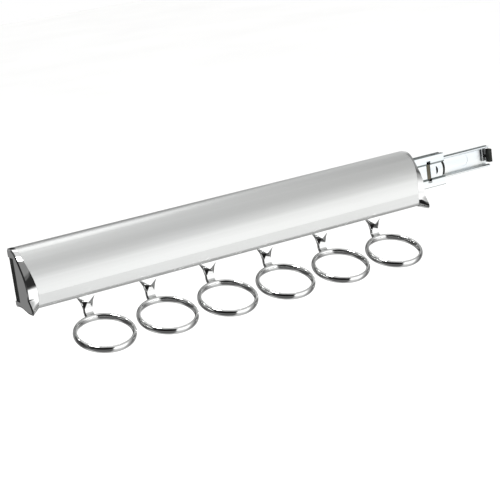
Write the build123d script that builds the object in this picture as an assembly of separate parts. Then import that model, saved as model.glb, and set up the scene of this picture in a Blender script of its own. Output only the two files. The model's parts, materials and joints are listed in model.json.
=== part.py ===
from build123d import *
import os

# Pull-out ring rack for a wardrobe: an aluminium cover on a full-extension ball slide, with six chrome rings.
#
# Frame, in millimetres: X runs along the rack, -X is the way it pulls out. +Y points into the wall that
# carries it, so the rack stands out towards -Y. +Z is up. The origin is midway between the two wall screw
# holes, on the wall face. The rack is modelled partly pulled out; every member of the slide is placed from
# its own stroke.

# ---------------------------------------------------------------- driving dimensions
RAIL_LENGTH = 350.0          # wall rail
CARRIAGE_RAIL_LENGTH = 349.0
MIDDLE_RAIL_LENGTH = 343.0
SCREW_SPACING = 224.0        # wall screw holes, seven steps of 32
REAR_HOLE_INSET = 58.4       # last screw hole to the wall rail's rear end
STAGE_ONE_OUT = 51.2         # how far the middle rail's rear end stands inside the wall rail's rear end
STAGE_TWO_OUT = 40.7         # how far the carriage rail's rear end stands inside the middle rail's
STAGE_ONE_LEFT = 130.0       # travel left before the first stage is fully out

RING_COUNT = 6
RING_PITCH = 52.0
RING_OUTER_RADIUS = 23.4
RING_BAND = 3.3              # radial thickness of the ring's oval section
RING_HEIGHT = 5.5            # height of the section along the ring's axis
RING_DROOP = 19.5            # the ring's plane falls this much towards the front, in degrees
RING_CENTRE_Y = -45.0
RING_CENTRE_Z = -46.5

SHEET = 1.1                  # rolled steel of the two moving rails
WALL_SHEET = 1.2             # rolled steel of the wall rail
BALL_RADIUS = 1.5
BALL_DEPTH = 4.2             # ball centres, measured out from the wall
INNER_BALL_Z = 9.6           # between wall rail and middle rail
OUTER_BALL_Z = 14.3          # between middle rail and carriage rail
GROOVE_RADIUS = 1.55
GROOVE_WALL = 2.65           # outer radius of a rolled ball groove
WALL_RAIL_HALF = 8.9
MIDDLE_RAIL_HALF = 13.5
CARRIAGE_RAIL_HALF = 17.5
BUMPER_STEM_RADIUS = 1.3
WINDOW_WIDTH = 4.0           # window near the middle rail's rear end
END_RADIUS = 12.0            # the middle rail's web ends in this curve
SLIDE_DEPTH = 11.3

COVER_LENGTH_OVER_CAPS = 356.4
COVER_BACK = 3.0             # gap from the wall to the cover's rear edges
COVER_WALL = 1.6
COVER_TOP = 22.3
COVER_BOTTOM = -21.0
ELLIPSE_Y = -7.0             # centre and half axes of the cover's curved front
ELLIPSE_Z = -8.8
ELLIPSE_DEPTH = 23.8
ELLIPSE_HEIGHT = 31.1
CREASE_Z = -9.9              # the curved front ends here and a flat strip slopes back
BOTTOM_WALL = 2.0

CAP_DEPTH = 8.0              # end face to the cover's furthest edge
CAP_EDGE = 0.8               # depth of the chamfer round the end face
CAP_CHAMFER = 1.6            # width of that chamfer across the end face
CAP_WALL = 2.0
CAP_BACK = -2.7
CAP_GAP = 0.1
RIM_DEPTHS = {
    -25.0: 6.9, -17.0: 7.4, -10.0: 8.0, -2.0: 7.3, 6.0: 5.8, 12.0: 4.6, 17.0: 3.9, 20.5: 4.1, 25.0: 5.6,
}                            # joint of cap and cover: its depth behind the end face at each height
SLOT_TOP = 16.0
SLOT_BOTTOM = -17.3
SLOT_DEPTH = 12.2            # opening in the end face that the slide runs through

# ---------------------------------------------------------------- places along the rack
WALL_RAIL_REAR = SCREW_SPACING / 2 + REAR_HOLE_INSET
WALL_RAIL_FRONT = WALL_RAIL_REAR - RAIL_LENGTH
MIDDLE_REAR = WALL_RAIL_REAR - STAGE_ONE_OUT
MIDDLE_FRONT = MIDDLE_REAR - MIDDLE_RAIL_LENGTH
WINDOW_X = MIDDLE_REAR - 16.2
BUMPER_STEM_X = WALL_RAIL_REAR - 1.9
CARRIAGE_REAR = MIDDLE_REAR - STAGE_TWO_OUT
CARRIAGE_FRONT = CARRIAGE_REAR - CARRIAGE_RAIL_LENGTH
CARRIAGE_CENTRE = (CARRIAGE_REAR + CARRIAGE_FRONT) / 2
CAP_FACE_FRONT = CARRIAGE_CENTRE - COVER_LENGTH_OVER_CAPS / 2
CAP_FACE_REAR = CARRIAGE_CENTRE + COVER_LENGTH_OVER_CAPS / 2
RING_X = [CARRIAGE_CENTRE + (i - (RING_COUNT - 1) / 2) * RING_PITCH for i in range(RING_COUNT)]
RAIL_SCREW_X = [CARRIAGE_CENTRE + offset for offset in (-RING_PITCH * 2, 0.0, RING_PITCH * 2)]

RETAINER_LENGTH = 140.0
INNER_RETAINER_REAR = 31.75
OUTER_RETAINER_REAR = -5.75
BALLS_PER_ROW = 6

PORTS = [(-25.9, -8.6), (-16.2, 16.2)]   # screw ports of the cover, as Y and Z
PORT_RADIUS = 2.1
STUD_RADIUS = 2.0
NECK_Y = -19.7
NECK_SECTIONS = [            # width, depth, drop below the cover, half width of the flat front
    (16.5, 5.4, 0.0, 7.6),
    (15.4, 5.2, 1.0, 7.0),
    (9.6, 5.4, 6.2, 0.5),
    (7.6, 3.7, 11.0, 3.0),
    (7.4, 3.7, 12.0, 3.0),
]
ACCESS_RADIUS = 4.5          # holes that let a screwdriver through to the front wall screw


def along_x(section, start, length):
    """A section drawn with Y and Z as its two directions, pulled along +X from start."""
    return Pos(start, 0, 0) * extrude(Plane.YZ * section, amount=length)


def block(y_low, y_high, z_low, z_high):
    """A rectangle in the section plane from its limits."""
    return Pos((y_low + y_high) / 2, (z_low + z_high) / 2) * Rectangle(y_high - y_low, z_high - z_low)


def both_sides(shape):
    """A section's upper half joined with its mirror image below the slide's centre line."""
    return shape + mirror(shape, about=Plane.XZ)


def disc(y, z, radius):
    return Pos(y, z) * Circle(radius)


def save(shape, name):
    export_step(shape, os.path.join("parts", name + ".step"))


# ---------------------------------------------------------------- slide members
def groove_ring(z, z_low, z_high):
    """Rolled metal round a row of balls, kept between two heights."""
    band = block(-SLIDE_DEPTH, 0.0, z_low, z_high)
    return disc(-BALL_DEPTH, z, GROOVE_WALL) & band


def access_hole(x):
    """Cutter for a hole in a web that meets the front wall screw when the first stage is fully out."""
    return Pos(x, -SLIDE_DEPTH / 2 - 2.0, 0) * Rot(X=90) * Cylinder(ACCESS_RADIUS, 6.0)


def wall_rail():
    """Inner member: a channel open to the front, its web screwed to the wall."""
    depth, tab_depth = 6.3, 1.6
    half = WALL_RAIL_HALF
    upper = block(-WALL_SHEET, 0.0, 0.0, half)
    upper += block(-depth, 0.0, half - SHEET, half)
    upper += groove_ring(INNER_BALL_Z, 6.0, half) & block(-depth, 0.0, 0.0, half)
    upper -= disc(-BALL_DEPTH, INNER_BALL_Z, GROOVE_RADIUS)
    rail = along_x(both_sides(upper), WALL_RAIL_FRONT, RAIL_LENGTH)
    for x in (-SCREW_SPACING / 2, SCREW_SPACING / 2):
        hole = Pos(x, 0, 0) * Rot(X=90) * Cylinder(2.2, 4 * WALL_SHEET)
        dimple_depth = 0.8
        dimple = Pos(x, -WALL_SHEET + dimple_depth / 2, 0) * Rot(X=90) * Cone(2.2, 5.2, dimple_depth)
        rail -= hole + dimple
    rail -= Pos(WALL_RAIL_REAR - 25.4, -WALL_SHEET, 1.0) * Rot(X=90) * Cylinder(5.2, 0.3)
    for x in (WALL_RAIL_REAR - 5.2, WALL_RAIL_FRONT + 2.0):
        rail += Pos(x, -tab_depth / 2 - 0.6, 1.5) * Box(1.0, tab_depth + 1.2, 10.8)
    rail -= Pos(BUMPER_STEM_X, 0, 0) * Rot(X=90) * Cylinder(BUMPER_STEM_RADIUS, 4 * WALL_SHEET)
    return rail


def wall_rail_bumper():
    """Rubber bumper that the middle rail's buffer closes against: a head on a stem pushed into the web."""
    head = Pos(WALL_RAIL_REAR - 0.3, -5.7, 0.5) * Box(3.4, 5.0, 11.2)
    stem = Pos(BUMPER_STEM_X, -1.8, 0) * Rot(X=90) * Cylinder(BUMPER_STEM_RADIUS - 0.02, 3.6)
    return fillet(head.edges().filter_by(Axis.Z).group_by(Axis.Y)[0], 0.6) + stem


def lance_cutter(y):
    """Cutter for the D-shaped opening between the middle rail's window and its curved end."""
    lance = Pos(MIDDLE_REAR - 10.6, y, 0) * Rot(X=90) * Cylinder(4.3, 4.0)
    return lance & Pos(MIDDLE_REAR - 6.1, y, 0) * Box(4.6, 5.0, 8.8)


def middle_rail():
    """Intermediate member: one web towards the front, grooves inside and outside its two flanges."""
    front, recess = 9.15, 0.9
    half = MIDDLE_RAIL_HALF
    race = INNER_BALL_Z + 0.8
    upper = block(-front, -front + SHEET, 6.2, half)
    upper += block(-front + recess, -front + recess + SHEET, 0.0, 6.8)
    upper += block(-front, -1.2, half - SHEET, half)
    upper += groove_ring(INNER_BALL_Z, race, half)
    upper += groove_ring(OUTER_BALL_Z, race, half)
    upper -= disc(-BALL_DEPTH, INNER_BALL_Z, GROOVE_RADIUS)
    upper -= disc(-BALL_DEPTH, OUTER_BALL_Z, GROOVE_RADIUS)
    rail = along_x(both_sides(upper), MIDDLE_FRONT, MIDDLE_RAIL_LENGTH)
    rail -= Pos(WINDOW_X, -front + 1.0, 0) * Box(WINDOW_WIDTH, 4.0, 18.4)
    rail -= lance_cutter(-front + 1.0)
    end_curve = Pos(MIDDLE_REAR - 1.2 - END_RADIUS, -front, 0) * Rot(X=90) * Cylinder(END_RADIUS, 8.0)
    rail -= Pos(MIDDLE_REAR, -front + 1.05, 0) * Box(12.0, 2.4, 12.4) - end_curve
    rail -= access_hole(-SCREW_SPACING / 2 + STAGE_ONE_LEFT)
    for side in (1, -1):
        rail += Pos(MIDDLE_REAR - 8.4, -front / 2 - 1.6, side * (half + 0.15)) * Box(2.0, 2.4, 0.5)
    return rail


def curved_end(beyond, length, y_back, y_front, height):
    """A plate along X whose rear end is curved and stands a little beyond the middle rail's end."""
    tip = MIDDLE_REAR + beyond
    plate = Pos(tip - length / 2, (y_back + y_front) / 2, 0) * Box(length, y_back - y_front, height)
    curve = Pos(tip - END_RADIUS, (y_back + y_front) / 2, 0) * Rot(X=90) * Cylinder(END_RADIUS, 8.0)
    return plate & (curve + Pos(tip - 6.0 - length, 0, 0) * Box(2 * length, 40.0, 40.0))


def stop_plate():
    """Yellow-passivated plate behind the middle rail's web, with a rib that fills the web's window."""
    back, thick = -6.65, 0.5
    plate = curved_end(-0.15, 21.6, back, back - thick, 11.8)
    plate -= lance_cutter(back - thick / 2)
    rib = Pos(WINDOW_X, back - thick - 0.5, 0) * Box(WINDOW_WIDTH - 0.2, 1.0, 12.2)
    return plate + fillet(rib.edges().filter_by(Axis.Z).group_by(Axis.Y)[0], 0.4)


def stop_buffer():
    """Rubber pad stuck behind the stop plate; it meets the wall rail's bumper when the slide shuts."""
    return curved_end(2.2, 16.0, -4.6, -6.65, 11.0)


def carriage_rail():
    """Outer member: a channel open to the wall, screwed to the cover's rib."""
    half = CARRIAGE_RAIL_HALF
    race = OUTER_BALL_Z + 0.8
    upper = block(-SLIDE_DEPTH, -SLIDE_DEPTH + SHEET, 0.0, half)
    upper += block(-SLIDE_DEPTH, -1.6, half - SHEET, half)
    upper += groove_ring(OUTER_BALL_Z, race, half)
    upper += block(-2.7, -1.6, race + 0.2, half)
    upper -= disc(-BALL_DEPTH, OUTER_BALL_Z, GROOVE_RADIUS)
    rail = along_x(both_sides(upper), CARRIAGE_FRONT, CARRIAGE_RAIL_LENGTH)
    for x in RAIL_SCREW_X:
        rail -= Pos(x, -SLIDE_DEPTH + SHEET / 2, 0) * Rot(X=-90) * Cone(1.8, 3.3, SHEET)
    return rail


def carriage_bumper():
    """Rubber buffer in the front cap's slot; a lug inside the carriage rail meets the middle rail's web."""
    head = along_x(block(-10.0, -3.0, SLOT_BOTTOM + 0.1, SLOT_TOP - 0.1), CAP_FACE_FRONT + 0.7, 3.0)
    head = fillet(head.edges().filter_by(Axis.Y).group_by(Axis.X)[0], 0.5)
    lug = along_x(block(-10.2, -7.0, -11.0, 11.0), CARRIAGE_FRONT, 5.7)
    return head + lug


def retainer(rear, ball_z, plate_depth):
    """Pressed strip that spaces two rows of balls, with a pocket for each ball."""
    thick = 0.45
    plate = block(-plate_depth - thick, -plate_depth, 0.0, ball_z + thick / 2)
    flange = block(-plate_depth - thick, -BALL_DEPTH + 1.9, ball_z - thick / 2, ball_z + thick / 2)
    strip = along_x(both_sides(plate + flange), rear - RETAINER_LENGTH, RETAINER_LENGTH)
    pockets = [Pos(x, -BALL_DEPTH, 0) * Cylinder(BALL_RADIUS + 0.1, 4 * ball_z) for x in ball_places(rear)]
    return strip - pockets


def ball_places(rear):
    pitch = RETAINER_LENGTH / BALLS_PER_ROW
    return [rear - RETAINER_LENGTH + pitch * (i + 0.5) for i in range(BALLS_PER_ROW)]


def balls(rear, ball_z):
    rows = [(x, side * ball_z) for x in ball_places(rear) for side in (1, -1)]
    return Compound([Pos(x, -BALL_DEPTH, z) * Sphere(BALL_RADIUS) for x, z in rows])


# ---------------------------------------------------------------- cover and end caps
def rim_depth(z):
    """Distance from the end face to the joint of cap and cover at a height, between the stated depths."""
    heights = list(RIM_DEPTHS)
    above = next(i for i in range(1, len(heights)) if z <= heights[i] or i == len(heights) - 1)
    low, high = heights[above - 1], heights[above]
    share = (z - low) / (high - low)
    return RIM_DEPTHS[low] + share * (RIM_DEPTHS[high] - RIM_DEPTHS[low])


def rim_cutter(face_x, side, gap):
    """Everything from beyond an end face to the joint of cap and cover; side is -1 in front, 1 behind."""
    joint = [(face_x - side * (depth - gap), z) for z, depth in RIM_DEPTHS.items()]
    far = face_x + side * 20.0
    start, end = joint[0], joint[-1]
    rest = Polyline(end, (end[0], 40.0), (far, 40.0), (far, -40.0), (start[0], -40.0), start)
    return extrude(make_face(Plane.XZ * (Spline(*joint) + rest)), amount=45.0, both=True)


def cover_outline(inset, back, bottom):
    """The cover's section, shrunk by inset, closed along a straight rear edge."""
    front = ELLIPSE_Y - ELLIPSE_DEPTH + inset
    top = COVER_TOP - inset
    low_radius = max(4.4 - inset, 1.0)
    curve = EllipticalCenterArc(
        (ELLIPSE_Y, ELLIPSE_Z), ELLIPSE_DEPTH - inset, ELLIPSE_HEIGHT - inset, start_angle=90, arc_size=90
    )
    strip_foot = (front + 1.15, bottom + low_radius * 0.92)
    corner_end = (front + 1.15 + low_radius * 1.05, bottom)
    corner_mid = (front + 1.15 + low_radius * 0.30, bottom + low_radius * 0.27)
    lines = [
        curve,
        Line((front, ELLIPSE_Z), (front, CREASE_Z)),
        Line((front, CREASE_Z), strip_foot),
        ThreePointArc(strip_foot, corner_mid, corner_end),
        Polyline(corner_end, (back, bottom), (back, top), (ELLIPSE_Y, top)),
    ]
    return make_face(Curve() + lines)


def cover():
    """Extruded aluminium cover: curved shell, open behind, with a screw rib and two screw ports."""
    outer = cover_outline(0.0, -COVER_BACK, COVER_BOTTOM)
    inner = cover_outline(COVER_WALL, 5.0, COVER_BOTTOM + BOTTOM_WALL)
    section = outer - inner
    seat = -SLIDE_DEPTH
    for side in (1, -1):
        rib = block(-29.8, seat, 1.8, 3.4) + block(seat - 1.8, seat, 1.8, 7.0)
        section += (rib if side == 1 else mirror(rib, about=Plane.XZ)) & outer
    for y, z in PORTS:
        section += disc(y, z, 3.7) & outer
    for y, z in PORTS:
        section -= disc(y, z, PORT_RADIUS)
    body = along_x(section, CAP_FACE_FRONT, COVER_LENGTH_OVER_CAPS)
    body -= rim_cutter(CAP_FACE_FRONT, -1, 0.0)
    body -= rim_cutter(CAP_FACE_REAR, 1, 0.0)
    for x in RING_X:
        body -= Pos(x, NECK_Y, COVER_BOTTOM) * Cylinder(STUD_RADIUS + 0.1, 4 * BOTTOM_WALL)
    return body


FACE_CURVE = [(-9.0, 22.2), (-15.4, 19.6), (-21.6, 12.2), (-26.9, 4.4), (-29.3, -2.2), (-29.8, -8.0)]


def cap_face_outline(grow):
    """The cap's end face: the cover's shape with a finger lip thrown forward at the foot."""
    top, low = COVER_TOP + grow, -23.5 - grow
    curve = [(y - grow * 0.7, z + grow * 0.5) for y, z in FACE_CURVE]
    toe_start = (-29.6 - grow, -12.4)
    toe_top = (-33.9 - grow, -19.2)
    toe_mid = (-34.0 - grow, -22.4 - grow * 0.7)
    toe_end = (-31.4, low - 0.3)
    return [
        Line((CAP_BACK, low + 1.2), (CAP_BACK, top)),
        Line((CAP_BACK, top), curve[0]),
        Spline(*curve),
        Spline(curve[-1], toe_start, toe_top, tangents=((0, -1), (-0.45, -1))),
        ThreePointArc(toe_top, toe_mid, toe_end),
        Spline(toe_end, (-23.4, low - 0.2), (-15.4, low + 1.3), (CAP_BACK, low + 1.2),
               tangents=((1, 0), (1, -0.25))),
    ]


def carried_out(y, z):
    """Where a line from the end face through the cover's edge at the joint reaches the cap's full depth."""
    dy, dz = y - ELLIPSE_Y, z - ELLIPSE_Z
    onto_cover = ((dy / ELLIPSE_DEPTH) ** 2 + (dz / ELLIPSE_HEIGHT) ** 2) ** -0.5
    depth_there = rim_depth(ELLIPSE_Z + dz * onto_cover)
    factor = 1 + (onto_cover - 1) * (CAP_DEPTH - CAP_EDGE) / (depth_there - CAP_EDGE)
    return ELLIPSE_Y + dy * factor, ELLIPSE_Z + dz * factor


def cap_joint_outline():
    """The cap at its full depth, split into the same six edges as the end face."""
    front = ELLIPSE_Y - ELLIPSE_DEPTH
    curve = [carried_out(y, z) for y, z in FACE_CURVE]
    strip_foot = (front + 1.15, COVER_BOTTOM + 4.05)
    corner_end = (front + 5.77, COVER_BOTTOM)
    corner_mid = (front + 2.47, COVER_BOTTOM + 1.19)
    return [
        Line((CAP_BACK, COVER_BOTTOM), (CAP_BACK, COVER_TOP)),
        Line((CAP_BACK, COVER_TOP), curve[0]),
        Spline(*curve),
        Line(curve[-1], strip_foot),
        ThreePointArc(strip_foot, corner_mid, corner_end),
        Line(corner_end, (CAP_BACK, COVER_BOTTOM)),
    ]


def section_face(edges, x):
    """A closed set of edges as a face standing across the rack at x."""
    return Pos(x, 0, 0) * (Plane.YZ * make_face(Curve() + edges))


def end_cap():
    """The front cap: a chromed casting with a flat end, a finger lip and pins for the cover's screw ports."""
    face_x = CAP_FACE_FRONT
    flat_end = section_face(cap_face_outline(-CAP_CHAMFER), face_x)
    widest = section_face(cap_face_outline(0.0), face_x + CAP_EDGE)
    joint = section_face(cap_joint_outline(), face_x + CAP_DEPTH)
    shell = loft([flat_end, widest], ruled=True) + loft([widest, joint], ruled=True)
    shell -= along_x(cover_outline(4.5, 5.0, COVER_BOTTOM + BOTTOM_WALL), face_x + CAP_WALL, 20.0)
    shell = shell & rim_cutter(face_x, -1, CAP_GAP)
    shell -= along_x(block(-SLOT_DEPTH, 1.0, SLOT_BOTTOM, SLOT_TOP), face_x - 1.0, 5.0)
    pins = [along_x(disc(y, z, PORT_RADIUS - 0.05), face_x + CAP_WALL, 18.0) for y, z in PORTS]
    tongue = along_x(block(-25.0, -12.4, -18.85, -16.2), face_x + CAP_WALL, 16.0)
    return shell + pins + tongue


# ---------------------------------------------------------------- rings
def neck_section(width, depth, drop, flat):
    """A six to eight sided section at some drop: faces meet in a ridge where the flat front is narrow."""
    side = depth * 0.16
    corners = [
        (width / 2, side), (flat, depth / 2), (-flat, depth / 2), (-width / 2, side),
        (-width / 2, -side), (-flat, -depth / 2), (flat, -depth / 2), (width / 2, -side),
    ]
    return Pos(0, NECK_Y, COVER_BOTTOM - drop) * make_face(Polyline(*corners, close=True))


def ring():
    """A ring and its neck as one casting, at X = 0, with a plain stud above the cover's floor."""
    tilt = Pos(0, RING_CENTRE_Y, RING_CENTRE_Z) * Rot(X=RING_DROOP)
    middle_radius = RING_OUTER_RADIUS - RING_BAND / 2
    section = Plane.XZ * (Pos(middle_radius, 0) * Ellipse(RING_BAND / 2, RING_HEIGHT / 2))
    hoop = tilt * revolve(section, Axis.Z)
    neck = loft([neck_section(*sizes) for sizes in NECK_SECTIONS], ruled=True)
    reach = (tilt * Pos(0, middle_radius, 0)).position
    outward = (reach - tilt.position).normalized()
    corner = reach + outward * ((NECK_Y - reach.Y) / outward.Y)
    last = NECK_SECTIONS[-1]
    start = Vector(0, NECK_Y, COVER_BOTTOM - last[2])
    path = FilletPolyline(start, corner, reach, radius=5.0)
    neck += sweep(neck_section(*last), path=path)
    stud = Pos(0, NECK_Y, COVER_BOTTOM + 4.2) * Cylinder(STUD_RADIUS, 8.4)
    return hoop + neck + stud


def ring_washers():
    top = COVER_BOTTOM + BOTTOM_WALL
    one = Pos(0, NECK_Y, top + 0.4) * (Cylinder(3.9, 0.8) - Cylinder(STUD_RADIUS + 0.05, 2.0))
    return Compound([Pos(x, 0, 0) * one for x in RING_X])


def ring_nuts():
    low = COVER_BOTTOM + BOTTOM_WALL + 0.8
    body = extrude(RegularPolygon(3.5, 6, major_radius=False), amount=3.2)
    body -= Cylinder(STUD_RADIUS + 0.03, 10.0)
    return Compound([Pos(x, NECK_Y, low) * body for x in RING_X])


def rail_screws():
    """Countersunk screws through the carriage rail into the slot between the cover's ribs."""
    head = Rot(X=-90) * Cone(1.75, 3.2, SHEET)
    shank = Pos(0, -5.0, 0) * Rot(X=90) * Cylinder(1.75, 9.2)
    recess = Pos(0, SHEET / 2, 0) * Box(2.4, 1.0, 0.7) + Pos(0, SHEET / 2, 0) * Box(0.7, 1.0, 2.4)
    one = head + shank - recess
    return Compound([Pos(x, -SLIDE_DEPTH + SHEET / 2, 0) * one for x in RAIL_SCREW_X])


def main():
    os.makedirs("parts", exist_ok=True)
    save(wall_rail(), "wall_rail")
    save(wall_rail_bumper(), "wall_rail_bumper")
    save(middle_rail(), "middle_rail")
    save(stop_plate(), "stop_plate")
    save(stop_buffer(), "stop_buffer")
    save(carriage_rail(), "carriage_rail")
    save(carriage_bumper(), "carriage_bumper")
    inner_retainer = retainer(INNER_RETAINER_REAR, INNER_BALL_Z, 6.65)
    save(inner_retainer - access_hole(-SCREW_SPACING / 2 + STAGE_ONE_LEFT / 2), "inner_ball_retainer")
    save(balls(INNER_RETAINER_REAR, INNER_BALL_Z), "inner_balls")
    save(retainer(OUTER_RETAINER_REAR, OUTER_BALL_Z, 9.45), "outer_ball_retainer")
    save(balls(OUTER_RETAINER_REAR, OUTER_BALL_Z), "outer_balls")
    save(cover(), "cover_profile")
    front_cap = end_cap()
    save(front_cap, "front_end_cap")
    save(mirror(front_cap, about=Plane.YZ.offset(CARRIAGE_CENTRE)), "rear_end_cap")
    one_ring = ring()
    for i, x in enumerate(RING_X):
        save(Pos(x, 0, 0) * one_ring, f"ring_{i + 1}")
    save(ring_washers(), "ring_washers")
    save(ring_nuts(), "ring_nuts")
    save(rail_screws(), "rail_screws")


main()
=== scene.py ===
import json
import math

import bpy
from mathutils import Matrix, Vector


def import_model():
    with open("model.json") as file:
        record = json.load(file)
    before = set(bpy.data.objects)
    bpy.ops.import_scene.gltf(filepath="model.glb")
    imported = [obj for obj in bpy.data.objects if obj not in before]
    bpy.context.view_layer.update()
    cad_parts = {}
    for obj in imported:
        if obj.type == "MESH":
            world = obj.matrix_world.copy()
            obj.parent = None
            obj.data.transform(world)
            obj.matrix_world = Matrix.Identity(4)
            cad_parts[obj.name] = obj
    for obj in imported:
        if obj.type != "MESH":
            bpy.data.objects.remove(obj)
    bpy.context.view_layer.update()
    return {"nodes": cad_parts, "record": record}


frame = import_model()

NODES = frame["nodes"]
SCENE = bpy.context.scene

# ------------------------------------------------------------------ camera
AZIMUTH, ELEVATION, ROLL = (math.radians(angle) for angle in (28.8, 13.9, 7.6))
CAMERA_AT = (-0.6400, -1.0318, 0.2640)
SENSOR_WIDTH, LENS = 36.0, 109.5         # millimetres
CLIP_END = 50.0


def make_camera():
    across, down = math.cos(ELEVATION), math.sin(ELEVATION)
    ahead = Vector((math.sin(AZIMUTH) * across, math.cos(AZIMUTH) * across, -down))
    level = Vector((math.cos(AZIMUTH), -math.sin(AZIMUTH), 0.0))
    upright = level.cross(ahead)
    right = level * math.cos(ROLL) - upright * math.sin(ROLL)
    up = level * math.sin(ROLL) + upright * math.cos(ROLL)
    camera = bpy.data.objects.new("camera", bpy.data.cameras.new("camera"))
    camera.data.sensor_width = SENSOR_WIDTH
    camera.data.lens = LENS
    camera.data.clip_end = CLIP_END
    place = Matrix((right, up, -ahead)).transposed().to_4x4()
    place.translation = Vector(CAMERA_AT)
    camera.matrix_world = place
    SCENE.collection.objects.link(camera)
    return camera


bpy.context.scene.camera = make_camera()


# ------------------------------------------------------------------ node helpers
def maths_node(tree, operation, values):
    """A math node in a tree; each value is a number or another node's output."""
    made = tree.nodes.new("ShaderNodeMath")
    made.operation = operation
    for socket, value in zip(made.inputs, values):
        if isinstance(value, (int, float)):
            socket.default_value = value
        else:
            tree.links.new(value, socket)
    return made.outputs[0]


class Shader:
    """A material under construction: short calls to add nodes and wire them."""

    def __init__(self, name):
        self.material = bpy.data.materials.new(name)
        self.material.use_nodes = True
        self.tree = self.material.node_tree
        self.bsdf = self.tree.nodes["Principled BSDF"]
        self.place = self.node("ShaderNodeTexCoord").outputs["Object"]

    def node(self, kind, **settings):
        made = self.tree.nodes.new(kind)
        for key, value in settings.items():
            setattr(made, key, value)
        return made

    def wire(self, source, target):
        self.tree.links.new(source, target)

    def feed(self, source, name):
        self.wire(source, self.bsdf.inputs[name])

    def set(self, **values):
        for key, value in values.items():
            self.bsdf.inputs[key.replace("_", " ")].default_value = value

    def stretched(self, scale):
        mapping = self.node("ShaderNodeMapping")
        mapping.inputs["Scale"].default_value = scale
        self.wire(self.place, mapping.inputs["Vector"])
        return mapping.outputs["Vector"]

    def noise(self, scale, detail=3.0, rough=0.55, stretch=(1, 1, 1)):
        made = self.node("ShaderNodeTexNoise")
        made.inputs["Scale"].default_value = scale
        made.inputs["Detail"].default_value = detail
        made.inputs["Roughness"].default_value = rough
        self.wire(self.stretched(stretch), made.inputs["Vector"])
        return made.outputs["Fac"]

    def ramp(self, source, low, high, start=0.3, end=0.7):
        """low where the source is at start, high where it is at end."""
        made = self.node("ShaderNodeMapRange", clamp=True)
        made.inputs["From Min"].default_value = start
        made.inputs["From Max"].default_value = end
        made.inputs["To Min"].default_value = low
        made.inputs["To Max"].default_value = high
        self.wire(source, made.inputs["Value"])
        return made.outputs["Result"]

    def mix(self, factor, first, second):
        made = self.node("ShaderNodeMix", data_type="RGBA")
        self.wire(factor, made.inputs["Factor"])
        for slot, value in (("A", first), ("B", second)):
            socket = next(s for s in made.inputs if s.name == slot and s.type == "RGBA")
            if isinstance(value, tuple):
                socket.default_value = (*value, 1.0)
            else:
                self.wire(value, socket)
        return next(s for s in made.outputs if s.type == "RGBA")

    def maths(self, operation, first, second=0.0):
        return maths_node(self.tree, operation, (first, second))

    def bump(self, *layers):
        """Each layer is (height source, distance in metres, strength)."""
        normal = None
        for height, distance, strength in layers:
            made = self.node("ShaderNodeBump")
            made.inputs["Distance"].default_value = distance
            made.inputs["Strength"].default_value = strength
            self.wire(height, made.inputs["Height"])
            if normal is not None:
                self.wire(normal, made.inputs["Normal"])
            normal = made.outputs["Normal"]
        self.feed(normal, "Normal")


# ------------------------------------------------------------------ materials
# Where the slide's steel is darkened, in metres: the ball tracks, and painted shade at the middle rail's
# folds and edges. Depths are along Y, with the wall's face at 0 and the room at negative values; heights are
# taken both ways from Z = 0. A pair is the stretch over which the dark fades.
TRACK_DEPTH = -0.0042                    # centres of the ball tracks, which are darkened
TRACK_HEIGHTS = (0.0096, 0.0143)         # inner and outer track
TRACK_REACH = (0.0018, 0.0025)           # radii round a centre
FOLD_HEIGHT = 0.00655                    # folds where the middle rail's web is set back, darkened as painted shade
FOLD_REACH = (0.0006, 0.0010)            # distances from the fold
FOLD_DEPTH = (-0.0071, -0.0068)          # in the web, not in the grooves behind it
LIP_HEIGHT = (0.0129, 0.0133)            # upper and lower edges of the middle rail, on the room's side, darkened as painted shade
LIP_DEPTH = (-0.0060, -0.0055)


def anodised():
    """Satin aluminium: faint drawn lines along the cover and a fine grain."""
    s = Shader("anodised")
    s.set(Metallic=1.0)
    lines = s.noise(700.0, 2.0, 0.5, (0.004, 1, 1))
    cloud = s.noise(14.0, 3.0, 0.5, (0.35, 1, 1))
    grain = s.noise(5200.0, 2.0, 0.6)
    tone = s.mix(s.ramp(lines, 0.0, 1.0), (0.800, 0.812, 0.805), (0.820, 0.830, 0.826))
    s.feed(s.mix(s.ramp(cloud, 0.0, 0.25), tone, (0.80, 0.80, 0.77)), "Base Color")
    s.feed(s.maths("ADD", s.ramp(grain, 0.34, 0.40), s.ramp(cloud, 0.0, 0.03)), "Roughness")
    s.bump((lines, 0.000006, 0.15), (grain, 0.000008, 0.3))
    return s.material


def chrome():
    """Polished chrome: a slight ripple, patches of haze and a few fine scratches."""
    s = Shader("chrome")
    s.set(Metallic=1.0, Base_Color=(0.86, 0.865, 0.86, 1.0))
    ripple = s.noise(60.0, 2.0, 0.4)
    haze = s.noise(220.0, 4.0, 0.6)
    scratches = s.noise(1500.0, 2.0, 0.7, (1, 0.06, 1))
    scratched = s.ramp(scratches, 0.0, 0.02, 0.62, 0.75)
    s.feed(s.maths("ADD", s.ramp(haze, 0.015, 0.04), scratched), "Roughness")
    s.bump((ripple, 0.0004, 0.05), (scratches, 0.000002, 0.15))
    return s.material


def track_darkening(s, depth, height):
    """1 in the ball tracks, 0 away from them."""
    grease = 0.0
    across = s.maths("SUBTRACT", depth, TRACK_DEPTH)
    for track in TRACK_HEIGHTS:
        away = s.maths("SUBTRACT", height, track)
        squares = (s.maths("MULTIPLY", across, across), s.maths("MULTIPLY", away, away))
        reach = s.maths("SQRT", s.maths("ADD", *squares))
        grease = s.maths("MAXIMUM", s.ramp(reach, 1.0, 0.0, *TRACK_REACH), grease)
    return grease


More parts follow.
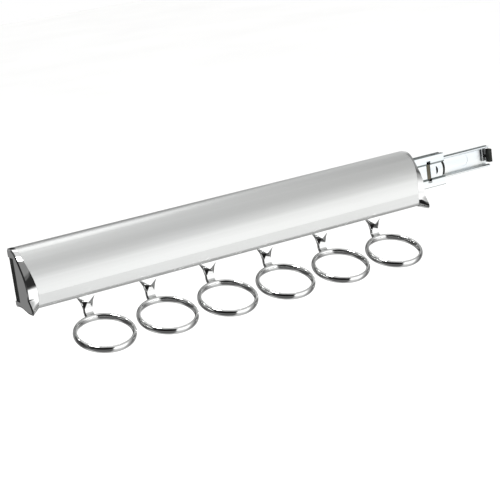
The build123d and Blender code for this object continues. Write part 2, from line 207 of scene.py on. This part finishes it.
def fold_and_edge_painted_shade(s, depth, height):
    """Painted shade: 1 in the folds and on the outer edges of the middle rail, 0 away from them."""
    from_fold = s.maths("ABSOLUTE", s.maths("SUBTRACT", height, FOLD_HEIGHT))
    near_fold = s.ramp(from_fold, 1.0, 0.0, *FOLD_REACH)
    folds = s.maths("MULTIPLY", near_fold, s.ramp(depth, 1.0, 0.0, *FOLD_DEPTH))
    at_lip = s.ramp(height, 0.0, 1.0, *LIP_HEIGHT)
    lips = s.maths("MULTIPLY", at_lip, s.ramp(depth, 1.0, 0.0, *LIP_DEPTH))
    return s.maths("MAXIMUM", lips, folds)


def zinc_steel(name, adds_painted_shade=False):
    """Bright zinc with a bluish bloom, darkened ball tracks and, if asked, painted shade in the folds and
    along the edges.
    """
    s = Shader(name)
    s.set(Metallic=1.0)
    rolled = s.noise(700.0, 3.0, 0.6, (0.02, 1, 1))
    bloom = s.noise(45.0, 3.0, 0.5)
    specks = s.noise(2600.0, 2.0, 0.6)
    split = s.node("ShaderNodeSeparateXYZ")
    s.wire(s.place, split.inputs[0])
    depth, height = split.outputs["Y"], s.maths("ABSOLUTE", split.outputs["Z"])
    dark_tracks_and_painted_shade = track_darkening(s, depth, height)
    # painted shade: the middle rail's folds and edges are darkened to stand in for their shadows
    if adds_painted_shade:
        dark_tracks_and_painted_shade = s.maths("MAXIMUM", fold_and_edge_painted_shade(s, depth, height), dark_tracks_and_painted_shade)
    dark_tracks_and_painted_shade = s.maths("MULTIPLY", dark_tracks_and_painted_shade, s.ramp(bloom, 0.82, 1.0))
    tone = s.mix(s.ramp(bloom, 0.0, 1.0, 0.4, 0.7), (0.83, 0.875, 0.90), (0.88, 0.89, 0.87))
    tone = s.mix(s.ramp(rolled, 0.0, 0.2), tone, (0.76, 0.80, 0.82))
    # near-black mixed into the base colour: darkened ball tracks and, on the middle rail, painted shade
    s.feed(s.mix(dark_tracks_and_painted_shade, tone, (0.085, 0.105, 0.10)), "Base Color")
    s.feed(s.maths("ADD", s.ramp(rolled, 0.28, 0.38), s.ramp(specks, 0.0, 0.06)), "Roughness")
    s.bump((rolled, 0.00002, 0.2), (specks, 0.00001, 0.3))
    return s.material


def yellow_zinc():
    """Dull yellow passivated steel, blotched and specked."""
    s = Shader("yellow_zinc")
    s.set(Metallic=1.0)
    bloom = s.noise(90.0, 3.0, 0.6)
    specks = s.noise(1800.0, 3.0, 0.6)
    s.feed(s.mix(s.ramp(bloom, 0.0, 1.0), (0.100, 0.093, 0.070), (0.150, 0.138, 0.104)), "Base Color")
    s.feed(s.ramp(specks, 0.24, 0.38), "Roughness")
    s.bump((specks, 0.00001, 0.3))
    return s.material


def polished_steel(name, colour, low, high):
    """Bright steel whose roughness drifts between low and high with a fine haze."""
    s = Shader(name)
    s.set(Metallic=1.0)
    haze = s.noise(400.0, 4.0, 0.6)
    hazed = tuple(channel * 0.86 for channel in colour)
    s.feed(s.mix(s.ramp(haze, 0.0, 1.0), colour, hazed), "Base Color")
    s.feed(s.ramp(haze, low, high), "Roughness")
    s.bump((haze, 0.00002, 0.25))
    return s.material


def rubber():
    """Black rubber with a moulded grain and grey dust."""
    s = Shader("rubber")
    grain = s.noise(1400.0, 5.0, 0.65)
    dust = s.noise(160.0, 4.0, 0.6)
    dusty = s.ramp(dust, 0.0, 1.0, 0.45, 0.8)
    s.feed(s.mix(dusty, (0.008, 0.009, 0.008), (0.028, 0.030, 0.027)), "Base Color")
    s.feed(s.ramp(grain, 0.48, 0.72), "Roughness")
    s.set(Specular_IOR_Level=0.25)
    s.bump((grain, 0.00008, 0.5))
    return s.material


MATERIALS = {
    "anodised": anodised(),
    "chrome": chrome(),
    "zinc_steel": zinc_steel("zinc_steel"),
    "zinc_steel_with_painted_shade": zinc_steel("zinc_steel_with_painted_shade", adds_painted_shade=True),
    "yellow_zinc": yellow_zinc(),
    "bearing_steel": polished_steel("bearing_steel", (0.66, 0.67, 0.68), 0.05, 0.14),
    "fastener_steel": polished_steel("fastener_steel", (0.62, 0.64, 0.65), 0.18, 0.34),
    "rubber": rubber(),
}
OWN_MATERIAL = {"middle_rail": "zinc_steel_with_painted_shade"}    # the middle rail takes zinc steel with painted shade; the other nodes take their slot's material
for part in frame["record"]["subparts"]:
    mesh = NODES[part["node"]].data
    for i in range(len(mesh.materials)):
        mesh.materials[i] = MATERIALS[OWN_MATERIAL.get(part["node"], part["material_slot"])]

# ------------------------------------------------------------------ stage: floor and lamps
FLOOR_Z, FLOOR_HALF = -0.30, 6.0


def floor():
    corners = [(-1, -1), (1, -1), (1, 1), (-1, 1)]
    mesh = bpy.data.meshes.new("floor")
    mesh.from_pydata([(x * FLOOR_HALF, y * FLOOR_HALF, FLOOR_Z) for x, y in corners], [], [(0, 1, 2, 3)])
    piece = bpy.data.objects.new("floor", mesh)
    SCENE.collection.objects.link(piece)
    paper = Shader("floor")
    tone = paper.noise(3.0, 3.0, 0.5)
    paper.feed(paper.mix(paper.ramp(tone, 0.0, 1.0), (0.90, 0.90, 0.895), (0.93, 0.93, 0.925)), "Base Color")
    paper.set(Roughness=0.85)
    mesh.materials.append(paper.material)
    piece.visible_glossy = False         # the shiny parts mirror the studio windows below instead


def area_light(name, at, aim, size, power):
    light = bpy.data.lights.new(name, "AREA")
    light.shape = "RECTANGLE"
    light.size, light.size_y = size
    light.energy = power
    piece = bpy.data.objects.new(name, light)
    piece.location = at
    piece.rotation_euler = (Vector(aim) - Vector(at)).to_track_quat("-Z", "Y").to_euler()
    SCENE.collection.objects.link(piece)


# ------------------------------------------------------------------ studio: what the shiny parts mirror
# Windows painted over each other in this order. Bearings are in degrees from the front (-Y), positive
# towards +X; heights are in degrees above the horizon.
# bearing, half width, softness, height, half height, softness, brightness
MIRRORED = [
    (45, 140, 30, -75, 25, 15, 0.58),
    (0, 180, 1, 84, 20, 9, 0.83),
    (158, 34, 12, -40, 20, 10, 0.36),
    (35, 32, 3, -8, 29, 23, 1.39),
    (68, 12, 10, -18, 40, 14, 0.42),
    (104, 26, 12, 0, 52, 16, 0.30),
    (87, 8, 12, 0, 34, 16, 0.08),
    (139, 15, 12, 2, 28, 12, 0.70),
    (176, 10, 8, 2, 46, 14, 0.08),
    (-158, 12, 10, -2, 46, 14, 0.24),
    (-118, 32, 6, 2, 42, 12, 0.07),
    (-91, 6, 5, 36, 12, 8, 0.30),
    (-50, 54, 12, -50, 18, 9, 0.10),
    (-50, 60, 14, -76, 12, 8, 0.20),
    (-43, 43, 2, -1, 30, 8, 0.012),
    (-68, 14, 8, 18, 16, 8, 0.10),
    (-45, 25, 6, 38, 9, 4, 0.27),
    (-12, 11, 8, 40, 15, 8, 0.12),
    (-2, 9, 4, 12, 15, 4, 0.03),
    (158, 8, 5, 16, 14, 6, 0.04),
    (-106, 9, 5, 6, 12, 6, 0.02),
]
MIRRORED_BASE = 0.58     # brightness outside every window
LIT = 1.20               # even light for matt surfaces and the floor
BACKDROP = 1.0           # what the camera sees behind the floor


def world():
    made = bpy.data.worlds.new("studio")
    SCENE.world = made
    made.use_nodes = True
    tree = made.node_tree
    shader = tree.nodes["Background"]
    shader.inputs["Color"].default_value = (1.0, 1.0, 1.0, 1.0)
    split = tree.nodes.new("ShaderNodeSeparateXYZ")
    tree.links.new(tree.nodes.new("ShaderNodeTexCoord").outputs["Generated"], split.inputs[0])
    x, y, z = split.outputs

    def maths(operation, *values):
        return maths_node(tree, operation, values)

    def inside(value, half, soft):
        """1 where a value is under half, falling smoothly to 0 over the softness."""
        ramp = tree.nodes.new("ShaderNodeMapRange")
        ramp.interpolation_type = "SMOOTHSTEP"
        ramp.inputs["From Min"].default_value = half + soft
        ramp.inputs["From Max"].default_value = half - soft
        tree.links.new(value, ramp.inputs["Value"])
        return ramp.outputs["Result"]

    def painted(mask, brightness, level):
        """The level so far, with a brightness laid over it where the mask is 1."""
        kept = maths("MULTIPLY", maths("SUBTRACT", 1.0, mask), level)
        return maths("ADD", maths("MULTIPLY", mask, brightness), kept)

    bearing = maths("DEGREES", maths("ARCTAN2", x, maths("MULTIPLY", y, -1.0)))
    height = maths("DEGREES", maths("ARCSINE", z))
    level = MIRRORED_BASE
    for at, half, soft, up_at, up_half, up_soft, brightness in MIRRORED:
        turn = maths("PINGPONG", maths("SUBTRACT", bearing, float(at)), 180.0)
        climb = maths("ABSOLUTE", maths("SUBTRACT", height, float(up_at)))
        mask = maths("MULTIPLY", inside(turn, half, soft), inside(climb, up_half, up_soft))
        level = painted(mask, brightness, level)
    rays = tree.nodes.new("ShaderNodeLightPath").outputs
    level = painted(rays["Is Diffuse Ray"], LIT, level)
    level = painted(rays["Is Camera Ray"], BACKDROP, level)
    tree.links.new(level, shader.inputs["Strength"])


world()
floor()
area_light("key", (-0.9, -0.5, 1.3), (-0.1, 0.0, 0.0), (0.6, 0.5), 13.0)
area_light("top_left", (0.02, 0.45, 0.66), (-0.25, 0.0, 0.02), (0.35, 0.35), 0.42)

SCENE.view_settings.view_transform = "Standard"
SCENE.view_settings.look = "None"
